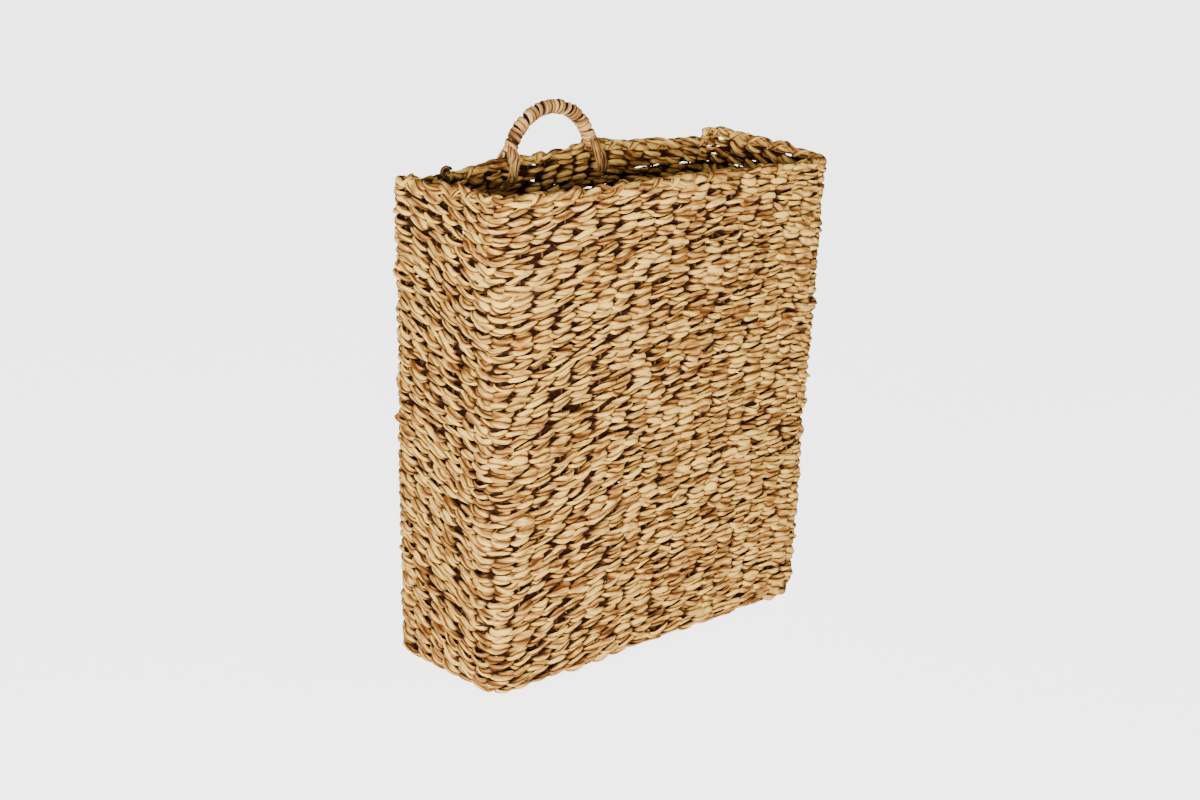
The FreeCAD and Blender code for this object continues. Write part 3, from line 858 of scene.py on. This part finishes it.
@dataclass
class BasketWall:
    """The twined wall: one spiral of rows from the bottom edge to the rim, spliced every few rows.

    slant_by_share says how far a stitch's end rises above its row, in mm, at shares of the way round.
    """

    shop: Basketry
    surface: Surface
    pitch: float
    seam_share: float
    stakes: int = 50
    edge_turns: int = 3
    wall_turns: int = 50
    rim_turns: int = 2
    rows_per_length: int = 5
    stake_half: tuple[float, float] = (1.4 * MM, 1.2 * MM)
    stake_tone: float = 0.4
    long_stakes: int = 18
    long_stake_reach: float = 167.0 * MM
    fold_radius: float = 4.9 * MM
    cut_stakes: float = 0.35
    loose_ends: int = 900
    outside_ends: float = 0.75
    hand: HandWork = HandWork()
    slant_by_share: tuple[tuple[float, float], ...] = (
        (0.0, 1.5), (0.12, 1.1), (0.17, 0.2), (0.25, -1.9), (0.34, -1.2), (0.42, 1.0), (0.60, 1.5),
        (0.66, 0.6), (0.70, -1.7), (0.78, -2.5), (0.795, -1.2), (0.81, 0.8), (0.83, 2.0), (0.88, 2.4),
        (0.92, 2.2), (1.0, 1.5))

    @property
    def first_rise(self) -> float:
        """Rise at which the spiral starts, under the bottom edge."""
        return self.surface.turn_length - self.edge_turns * self.pitch

    @property
    def last_turn(self) -> int:
        """Number of the turn that makes the rim's border."""
        return self.edge_turns + self.wall_turns + self.rim_turns - 1

    def path(self, s: Array, up: Array, out: Array) -> tuple[Array, Array]:
        """Places a point on the spiral, which climbs one pitch in each turn.

        Args:
            s: Stakes from the spiral's start.
            up: Distance above the row's middle.
            out: Distance outwards from the stakes.

        Returns:
            Points and outward directions.
        """
        turns = s / self.stakes
        share = self.seam_share + turns + self.hand.sway(s, turns) / self.stakes
        rise = self.first_rise + self.pitch * turns
        waver, bulge = self.hand.strayed(share, rise)
        return self.surface.frame(share, rise + up + waver, out + bulge)

    def rows(self, name: str, stitch: Stitch, first_turn: int, turns: int, stands_for: list[str]) -> None:
        """Twines one pair of strands over several turns of the spiral.

        Args:
            name: The piece's name.
            stitch: The shape of its stitches.
            first_turn: The turn where it starts.
            turns: How many turns it runs.
            stands_for: CAD nodes that it replaces.
        """
        twiner = Twiner(stitch, self.shop.random)
        first, stakes = first_turn * self.stakes, turns * self.stakes
        s = first + np.linspace(0.0, stakes, stakes * stitch.samples + 1)
        slant = round_field(self.slant_by_share, self.seam_share + s / self.stakes)
        tubes = [twiner.strand(self.path, stakes, first, flip, slant) for flip in (0, 1)]
        self.shop.piece(name, tubes, Slot.WEFT, stands_for)

    def build(self) -> None:
        """Makes the edge rows, the wall's lengths, the rim's rows, the stakes and the loose ends."""
        plain = Stitch()
        # The rim's thick row gets only a quarter of the painted shade.
        thick = Stitch(relief=2.6 * MM, half_width=4.3 * MM, waist_width=2.8 * MM, half_depth=2.3 * MM,
                       waist_depth=2.1 * MM, painted_shade_share=0.25)
        self.rows("edge_rows", plain, 0, self.edge_turns, ["edge_outer_weft", "edge_inner_weft"])
        for number in range(self.wall_turns // self.rows_per_length):
            label = f"{number + 1:02d}"
            self.rows(f"weft_rows_{label}", plain, self.edge_turns + number * self.rows_per_length,
                      self.rows_per_length, [f"weft_outer_{label}", f"weft_inner_{label}"])
        self.rows("rim_rows", plain, self.edge_turns + self.wall_turns, self.rim_turns - 1, [])
        self.rows("rim_border_row", thick, self.last_turn, 1, ["rim_border"])
        self.turn_down_stakes()
        self.stand_stakes()
        self.loosen_ends()

    def turn_down_stakes(self) -> None:
        """Lays the stakes' ends as flat blades over the last row, from outside to inside.

        A blade goes round a little more than half a circle of fold_radius about the row's top. Some
        ends are cut off short and don't show.
        """
        draw, tubes = self.shop.random, []
        last = self.stakes * self.last_turn
        t = np.linspace(0.0, 1.0, 13)
        turn = math.pi * (t * 1.25 - 0.125)
        for stake in range(self.stakes):
            if draw.random() < self.cut_stakes:
                continue
            s = last + stake + 0.15 + draw.uniform(0.6, 1.15) * t + draw.normal(0.0, 0.12)
            up = self.fold_radius * np.sin(turn) + (draw.normal(0.0, 0.5) - 1.3) * MM
            points, outward = self.path(s, up, self.fold_radius * np.cos(turn))
            facing = outward * np.cos(turn)[:, None] + UP * np.sin(turn)[:, None]
            tubes.append(self.shop.blade(points, facing, draw.uniform(2.8, 5.0) * MM, 1.1 * MM,
                                         draw.uniform(0.25, 0.8), around=8))
        self.shop.piece("turned_down_stakes", tubes, Slot.WEFT, [])

    def stand_stakes(self) -> None:
        """Makes the stalks inside the weave: one up the wall at each stitch, and the long ones below."""
        rise = np.linspace(0.25 * self.surface.turn_length,
                           self.first_rise + self.pitch * (self.last_turn + 0.1), 44)
        shares = self.seam_share + np.arange(self.stakes) / self.stakes
        lines = [self.surface.frame(np.full_like(rise, share), rise, np.zeros_like(rise)) for share in shares]
        low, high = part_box("long_stakes")
        y = np.linspace(low.y + 20 * MM, high.y - 34 * MM, 12)
        for x in np.linspace(-self.long_stake_reach, self.long_stake_reach, self.long_stakes):
            under = np.column_stack([np.full_like(y, x), y, np.full_like(y, self.surface.inset)])
            lines.append((under, -UP))
        tubes = [self.shop.blade(points, outward, *self.stake_half, self.stake_tone, taper=0.8)
                 for points, outward in lines]
        self.shop.piece("stakes", tubes, Slot.STAKE, ["long_stakes", "end_stakes"])

    def loosen_ends(self) -> None:
        """Scatters short loose ends between the stitches, outside and inside, each a slightly bent line."""
        draw, tubes = self.shop.random, []
        t = np.linspace(0.0, 1.0, 5)
        for _ in range(self.loose_ends):
            s = draw.uniform(self.stakes, self.stakes * (self.edge_turns + self.wall_turns))
            side = 1.0 if draw.random() < self.outside_ends else -1.0
            length = draw.uniform(3.0, 9.0) * MM
            angle = draw.uniform(-0.6, 3.7)
            bend = draw.normal(0.0, 1.2) * MM
            along = s + (length * math.cos(angle) * t) / (20 * MM)
            up = length * math.sin(angle) * t * 0.7 + bend * t * t
            points, outward = self.path(along, up, side * (2.2 + draw.uniform(1.5, 3.4) * t) * MM)
            tubes.append(self.shop.blade(points, outward, draw.uniform(0.35, 0.8) * MM, 0.28 * MM,
                                         draw.uniform(0.35, 0.95), around=4, taper=0.1))
        self.shop.piece("loose_fibres", tubes, Slot.WEFT, [])


@dataclass(frozen=True)
class BaseRow:
    """The line of one row of the base, from its left end to its right."""

    start: Vector
    spacing: float

    def path(self, s: Array, up: Array, out: Array) -> tuple[Array, Array]:
        """Places a point at s stakes along the row; the base's outer side faces down.

        Args:
            s: Stakes from the row's start.
            up: Distance towards the front.
            out: Distance below the stakes.

        Returns:
            Points and outward directions.
        """
        points = np.column_stack([self.start.x + s * self.spacing, self.start.y - up, self.start.z - out])
        return points, np.broadcast_to(-UP, points.shape)


@dataclass
class BasketBase:
    """The flat base: rows twined from end to end round the long stakes."""

    shop: Basketry
    low: Vector
    high: Vector
    pitch: float
    stake_height: float
    spacing: float = 19.0 * MM
    slant: float = 1.5 * MM
    rows: int = 13

    def build(self) -> None:
        """Makes the base's rows, evenly spaced about its middle."""
        twiner = Twiner(Stitch(samples=8, around=8), self.shop.random)
        middle = 0.5 * (self.low + self.high)
        stakes = int((self.high.x - self.low.x) / self.spacing)
        tubes = []
        for number in range(self.rows):
            row = BaseRow(Vector((middle.x - 0.5 * stakes * self.spacing,
                                  middle.y + (number - 0.5 * (self.rows - 1)) * self.pitch,
                                  self.stake_height)), self.spacing)
            tubes += [twiner.strand(row.path, stakes, 0.0, flip, self.slant) for flip in (0, 1)]
        self.shop.piece("base_rows", tubes, Slot.WEFT, ["base_lower_weft", "base_upper_weft"])


@dataclass
class WrappedHandle:
    """The loop handle: thin cord coiled round an arch of stalks, and bare strands at its feet.

    The cord's width is a share of the coils' pitch. coil_stray moves a coil along the arch by a share of
    the pitch, coil_swell stands it off and end_pinch draws the last coils in, as shares of its distance.
    strand_lean moves the strands outwards below the coil and strand_gather brings them together in it.
    """

    shop: Basketry
    centre: Vector
    radius: float
    half_thickness: float
    half_span: float
    pivot_height: float
    coil_degrees: tuple[float, float] = (-77.0, 78.0)
    coils: int = 28
    samples: int = 22
    cord_half: float = 1.9 * MM
    cord_twist: float = 90.0
    cord_width_share: float = 0.54
    cord_unevenness: float = 0.16
    coil_stray: float = 0.28
    coil_swell: float = 0.035
    end_pinch: float = 0.14
    cord_tone: float = 0.56
    strand_tone: float = 0.5
    strand_lean: float = 3.0 * MM
    strand_gather: float = 2.2 * MM
    hole_margin: float = 1.5 * MM
    bend_above: float = 5.0 * MM
    bend_below: float = 8.0 * MM
    strand_half: float = 1.6 * MM
    strand_places_mm: tuple[float, ...] = (-4.4, -2.0, 0.4, 2.6, 4.6)

    @classmethod
    def of_frame(cls, shop: Basketry, pivot_height: float) -> "WrappedHandle":
        """Takes the arch from the CAD nodes of the handle.

        The arch stands on the pivots: radius^2 = half_span^2 + (radius - rise)^2, rise being the height of
        its crown above them.

        Args:
            shop: What the pieces share.
            pivot_height: Height of the place where the handle bends.

        Returns:
            The handle, ready to build.
        """
        low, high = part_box("handle_wrap")
        core_low, core_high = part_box("handle_core")
        half_thickness = 0.5 * (high.y - low.y)
        half_span = 0.5 * (core_high.x - core_low.x) - 0.5 * (core_high.y - core_low.y)
        rise = high.z - half_thickness - pivot_height
        radius = (half_span**2 + rise**2) / (2.0 * rise)
        centre = Vector((0.5 * (low.x + high.x), 0.5 * (low.y + high.y), high.z - half_thickness - radius))
        return cls(shop, centre, radius, half_thickness, half_span, pivot_height)

    def arch_point(self, angle: Array, lift: Array, side: Array) -> Array:
        """Places points about the arch's line.

        Args:
            angle: Angle from the arch's top.
            lift: Distance outwards from its line.
            side: Distance towards the back (+Y).

        Returns:
            Points, (n, 3).
        """
        reach = self.radius + lift
        return np.column_stack([self.centre.x + reach * np.sin(angle), self.centre.y + side,
                                self.centre.z + reach * np.cos(angle)])

    def build(self) -> None:
        """Makes the coil and the two feet."""
        self.coil()
        self.foot("left", -1.0)
        self.foot("right", 1.0)

    def stray(self, t: Array) -> Array:
        """A random value for each coil, joined smoothly."""
        return eased(self.shop.random.normal(size=self.coils + 2), t * self.coils)

    def coil(self) -> None:
        """Winds the cord: a helix round the arch, looser and tighter from turn to turn.

        At t along it the angle on the arch goes evenly between coil_degrees, plus a random stray, and the
        cord's middle goes round at half_thickness less the cord, a little nearer at both ends.
        """
        start, stop = np.radians(self.coil_degrees)
        t = np.linspace(0.0, 1.0, self.coils * self.samples + 1)
        loose = self.stray(t)
        angle = start + (stop - start) * (t + self.coil_stray / self.coils * loose)
        turn = math.tau * self.coils * t
        ends = smooth_step(np.minimum(t, 1.0 - t) / 0.05)
        distance = ((self.half_thickness - self.cord_half) * (1.0 + self.coil_swell * self.stray(t))
                    * (1.0 - self.end_pinch * (1.0 - ends)))
        points = self.arch_point(angle, distance * np.cos(turn), distance * np.sin(turn))
        middle = self.arch_point(angle, np.zeros_like(t), np.zeros_like(t))
        outward = unit(points - middle)
        pitch = (stop - start) * self.radius / self.coils
        width = self.cord_width_share * pitch * np.exp(self.cord_unevenness * self.stray(t))
        twist = self.cord_twist * t + 2.0 * loose
        rings = carried_section(points, outward, width, np.full_like(t, self.cord_half), 10, 3, 0.18, twist)
        # Painted shade: the cord is darkened where its surface lies nearer the arch's line than the cord's
        # middle.
        height = ((rings - middle[:, None]) * outward[:, None]).sum(-1)
        hollow = 1.0 - smooth_step((height - distance[:, None]) / (0.75 * self.cord_half))
        tone = self.cord_tone + 0.10 * self.stray(t)
        coil = Tube(rings, travelled(points), twist / (math.tau * 3), tone, hollow)
        self.shop.piece("handle_coil", [coil], Slot.WRAP, ["handle_wrap"], "handle")

    def foot(self, name: str, outwards: float) -> None:
        """Makes the bare strands of one foot: down both faces of the wall and through it, astride the rim.

        The strands leave the coil together, part over the rim and pass through the wall below it.
        A corner is (x, distance from the wall's middle in mm, drop below the pivot in mm).

        Args:
            name: Which foot, as in the CAD node's name.
            outwards: -1 at the left foot, 1 at the right one.
        """
        draw, tubes = self.shop.random, []
        x = self.centre.x + outwards * self.half_span
        low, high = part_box(f"handle_loop_{name}")
        gap = 0.5 * (high.y - low.y) - self.strand_half
        drop = self.pivot_height - low.z - self.hole_margin
        reach = 0.5 * (low.x + high.x) - x + outwards * self.strand_lean
        start = x - outwards * self.strand_gather
        for shift in self.strand_places_mm:
            side = (shift + draw.normal(0.0, 0.5)) * MM + outwards * self.strand_lean
            inner = [(start + 0.3 * side, 1.2, -7.0), (x + 0.6 * side, 2.6, -1.0),
                     (x + side, gap / MM * 0.86, 9.0), (x + side + reach * 0.45, gap / MM, 17.0),
                     (x + side + reach, gap / MM * 0.96, drop / MM - 4.0)]
            through = (x + side + reach * 1.12, 0.0, drop / MM + draw.uniform(-3.0, 2.0))
            corners = np.array([(px, -py, pz) for px, py, pz in inner] + [through] + inner[::-1])
            stray = draw.normal(0.0, 1.0, corners.shape) * np.array([1.1 * MM, 0.5, 0.9])
            stray[[0, -1]] = 0.0
            knots = (corners + stray) * np.array([1.0, MM, -MM]) + np.array(
                [0.0, self.centre.y, self.pivot_height])
            place = np.linspace(0.0, len(knots) - 1.0, 73)
            points = rounded_path(knots, place)
            away = (points - np.array([0.0, self.centre.y, 0.0])) * np.array([0.0, 1.0, 0.0])
            away[:, 0] = 0.2 * (points[:, 0] - x)
            away = unit(away + np.array([0.0, 1e-5, 2e-4]))
            size = self.strand_half + 0.25 * draw.normal() * MM
            width = size * np.exp(0.12 * eased(draw.normal(size=12), place))
            rings = carried_section(points, away, width, 0.8 * width, 8, 3, 0.14, 0.5 * place)
            tubes.append(Tube(rings, travelled(points) + shift, place / 9.0,
                              self.strand_tone + 0.12 * eased(draw.normal(size=12), place),
                              np.zeros(rings.shape[:2])))
        piece = self.shop.piece(f"foot_strands_{name}", tubes, Slot.LOOP, [f"handle_loop_{name}"], None)
        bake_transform(piece)


def rounded_path(knots: Array, place: Array) -> Array:
    """Draws a smooth curve through points at whole places.

    Between points k and k + 1 it is the cubic with slopes (p[k+1] - p[k-1]) / 2 at its ends.

    Args:
        knots: The points, (n, 3).
        place: Where on the curve, from 0 to n - 1.

    Returns:
        Points on the curve.
    """
    low = np.clip(np.floor(place).astype(int), 0, len(knots) - 2)
    t = (place - low)[:, None]
    padded = np.vstack([2 * knots[:1] - knots[1:2], knots, 2 * knots[-1:] - knots[-2:-1]])
    before, one, two, after = (padded[low + step] for step in range(4))
    slope_one, slope_two = 0.5 * (two - before), 0.5 * (after - one)
    return ((2 * t**3 - 3 * t**2 + 1) * one + (t**3 - 2 * t**2 + t) * slope_one
            + (3 * t**2 - 2 * t**3) * two + (t**3 - t**2) * slope_two)


@dataclass(frozen=True)
class Bundle:
    """Several blades that start together and part towards the end; sizes in mm from an anchor point."""

    name: str
    node: str
    corners: tuple[tuple[float, float, float], ...]
    spread: float
    count: int
    half_width: float
    tone: float


@dataclass
class LooseEnds:
    """Where the weaving stops: the frayed end of the last row and the dark knot inside the rim."""

    shop: Basketry
    frayed: Bundle = Bundle(
        "frayed_end", "rim_tail", ((6.0, -18.0, -6.0), (2.0, -10.0, -2.0), (-3.0, -4.0, -2.0),
                                   (-9.0, 0.0, -1.0)), 1.4, 10, 1.4, 0.62)
    knot: Bundle = Bundle(
        "dark_knot", "inside_tail", ((5.0, 1.5, -14.0), (1.0, -2.0, -7.0), (-3.0, -1.0, -1.0),
                                     (1.0, 0.0, 3.0), (6.0, 1.0, 1.0)), 1.5, 16, 1.9, 0.16)

    def bundle(self, kind: Bundle, anchor: Vector) -> None:
        """Makes one bundle: each blade follows the line and strays from it by spread t^1.6.

        Args:
            kind: The bundle's shape.
            anchor: Where its corners are measured from.
        """
        draw, tubes = self.shop.random, []
        place = np.linspace(0.0, len(kind.corners) - 1.0, 22)
        line = rounded_path(np.array(anchor) + np.array(kind.corners) * MM, place)
        grow = (place / place[-1]) ** 1.6
        for _ in range(kind.count):
            way = draw.normal(size=3) * np.array([0.4, 1.0, 1.0])
            points = line + kind.spread * MM * grow[:, None] * way + 0.8 * MM * draw.normal(size=3)
            half_width = kind.half_width * MM * draw.uniform(0.6, 1.1)
            tubes.append(self.shop.blade(points, np.array([0.1, 1.0, 0.3]), half_width, 0.45 * MM,
                                         kind.tone + draw.normal(0.0, 0.12), taper=0.45))
        self.shop.piece(kind.name, tubes, Slot.TAIL, [kind.node])

    def build(self) -> None:
        """Makes both bundles at their CAD nodes."""
        low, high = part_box(self.frayed.node)
        self.bundle(self.frayed, Vector((high.x, 0.5 * (low.y + high.y), high.z - 3.5 * MM)))
        low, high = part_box(self.knot.node)
        middle = 0.5 * (low + high)
        self.bundle(self.knot, Vector((middle.x, middle.y, high.z - 8.5 * MM)))


# ---------------------------------------------------------------- the studio


@dataclass(frozen=True)
class Studio:
    """Pale floor, soft lights and the camera.

    The floor glows fully to the camera and by glow_on_object of that to everything else. A lamp is its
    name, place, size and power.
    """

    floor_reach: float = 14.0
    floor_glow: float = 3.4
    glow_on_object: float = 0.15
    sky_strength: float = 0.24
    aim_height: float = 0.2
    azimuth_degrees: float = -43.63
    elevation_degrees: float = 16.22
    roll_degrees: float = 1.23
    target: tuple[float, float, float] = (-0.0109, -0.00505, 0.2167)
    distance: float = 1.809
    lens: float = 60.44
    lamps: tuple[tuple[str, tuple[float, float, float], float, float], ...] = (
        ("key_light", (-1.9, -2.1, 0.62), 0.4, 138.0),
        ("side_light", (-2.8, -0.7, 0.5), 0.6, 38.0),
        ("top_light", (0.2, -0.6, 2.6), 1.0, 9.0))

    def build(self) -> None:
        """Makes the floor, the sky, the lamps and the camera."""
        self.floor()
        world = bpy.data.worlds.new("studio_air")
        world.use_nodes = True
        air = world.node_tree.nodes["Background"].inputs
        air["Color"].default_value = WHITE
        air["Strength"].default_value = self.sky_strength
        bpy.context.scene.world = world
        for name, place, size, power in self.lamps:
            lamp = bpy.data.lights.new(name, "AREA")
            lamp.size, lamp.energy = size, power
            light = placed(name, lamp)
            light.location = place
            aim = Vector((0.0, 0.0, self.aim_height)) - Vector(place)
            light.rotation_euler = aim.to_track_quat("-Z", "Y").to_euler()
        self.camera()

    def floor(self) -> None:
        """Makes the pale floor, a flat square."""
        mesh = bpy.data.meshes.new("studio_floor")
        r = self.floor_reach
        mesh.from_pydata([(-r, -r, 0), (r, -r, 0), (r, r, 0), (-r, r, 0)], [], [(0, 1, 2, 3)])
        floor = placed("studio_floor", mesh)
        paint = Finish("pale_floor")
        paint.set("Base Color", (0.93, 0.93, 0.93, 1.0))
        paint.set("Roughness", 0.9)
        paint.set("Specular IOR Level", 0.1)
        glow = (self.glow_on_object,) * 3 + (1.0,)
        paint.set("Emission Color", paint.node("Mix", {"data_type": "RGBA"}, {
            0: paint.node("LightPath", {}, {}, "Is Camera Ray"), 6: glow, 7: WHITE}, 2))
        paint.set("Emission Strength", self.floor_glow)
        mesh.materials.append(paint.material)

    def camera(self) -> None:
        """Camera at the front left, a little above the rim, with a slight roll."""
        azimuth, elevation, roll = (math.radians(value) for value in (
            self.azimuth_degrees, self.elevation_degrees, self.roll_degrees))
        back = Vector((math.sin(azimuth) * math.cos(elevation), -math.cos(azimuth) * math.cos(elevation),
                       math.sin(elevation)))
        right = Vector((math.cos(azimuth), math.sin(azimuth), 0.0))
        up = back.cross(right)
        rolled_right = right * math.cos(roll) + up * math.sin(roll)
        rolled_up = up * math.cos(roll) - right * math.sin(roll)
        lens = bpy.data.cameras.new("studio_camera")
        lens.sensor_width, lens.lens = 36.0, self.lens
        view = placed("studio_camera", lens)
        turned = Matrix((rolled_right, rolled_up, back)).transposed().to_4x4()
        view.matrix_world = Matrix.Translation(Vector(self.target) + back * self.distance) @ turned
        bpy.context.scene.camera = view


def grass_finishes() -> dict[Slot, bpy.types.Material]:
    """Makes the finish of each material slot.

    Returns:
        The materials by slot.
    """
    # The last colour of each finish is painted shade, for its creases and hollows.
    kinds = {
        Slot.WEFT: GrassFinish("dry_seagrass", dark=(0.15, 0.048, 0.006), middle=(0.44, 0.205, 0.042),
                               pale=(0.98, 0.60, 0.135), painted_shade_colour=(0.026, 0.006, 0.0005)),
        Slot.STAKE: GrassFinish("stake_seagrass", dark=(0.03, 0.010, 0.002), middle=(0.09, 0.035, 0.009),
                                pale=(0.20, 0.09, 0.03), painted_shade_colour=(0.008, 0.002, 0.0004)),
        Slot.WRAP: GrassFinish("wrapping_cord", dark=(0.16, 0.058, 0.013), middle=(0.46, 0.215, 0.062),
                               pale=(0.86, 0.52, 0.18), painted_shade_colour=(0.012, 0.003, 0.0006), blades=2),
        Slot.LOOP: GrassFinish("bare_strands", dark=(0.12, 0.04, 0.008), middle=(0.40, 0.18, 0.05),
                               pale=(0.78, 0.44, 0.15), painted_shade_colour=(0.012, 0.003, 0.0006)),
        Slot.TAIL: GrassFinish("cut_ends", dark=(0.035, 0.012, 0.003), middle=(0.28, 0.12, 0.035),
                               pale=(0.60, 0.33, 0.12), painted_shade_colour=(0.008, 0.002, 0.0005))}
    return {slot: kind.build() for slot, kind in kinds.items()}


def share_of_seam(outline: Outline, x: float) -> float:
    """Finds a point of the back wall.

    Args:
        outline: The basket's outline.
        x: How far right the point is.

    Returns:
        Its share round the outline.
    """
    away = np.where(outline.points[:, 1] > 0.0, np.abs(outline.points[:, 0] - x), np.inf)
    return float(np.argmin(away)) / len(outline.points)


def basket_wall(shop: Basketry, nodes: dict[str, bpy.types.Object]) -> BasketWall:
    """Takes the wall's surface from the lowest weft and the rim.

    Args:
        shop: What the pieces share.
        nodes: The CAD nodes' objects.

    Returns:
        The wall, ready to build; its last row ends just short of the frayed end.
    """
    foot_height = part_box("weft_outer_01")[0].z
    rim_low, rim_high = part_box("rim_border")
    surface = Surface(Outline.of_node(nodes["weft_outer_01"], foot_height),
                      Outline.of_node(nodes["rim_border"], rim_low.z), foot_height, STAKE_INSET)
    pitch = (rim_high.z - RIM_ROW_INSET - foot_height) / ROWS_TO_RIM
    seam = share_of_seam(surface.rim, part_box("rim_tail")[0].x) - SEAM_SETBACK
    return BasketWall(shop, surface, pitch, seam)


def main() -> None:
    """Builds the basket from its wall and base up, then the handle, the loose ends and the studio."""
    logging.basicConfig(level=logging.INFO, format="%(message)s")
    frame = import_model()
    nodes = frame["nodes"]
    shop = Basketry(np.random.default_rng(SEED), grass_finishes())
    wall = basket_wall(shop, nodes)
    wall.build()
    BasketBase(shop, *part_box("base_lower_weft"), wall.pitch, STAKE_INSET).build()
    handle = WrappedHandle.of_frame(shop, frame["joints"][0]["pos_m"][2])
    handle.build()
    log.info("arch radius %.1f mm", handle.radius / MM)
    LooseEnds(shop).build()
    core = nodes["handle_core"].data.materials
    core.clear()
    core.append(shop.finishes[Slot.STAKE])
    Studio().build()


if __name__ == "__main__":
    main()
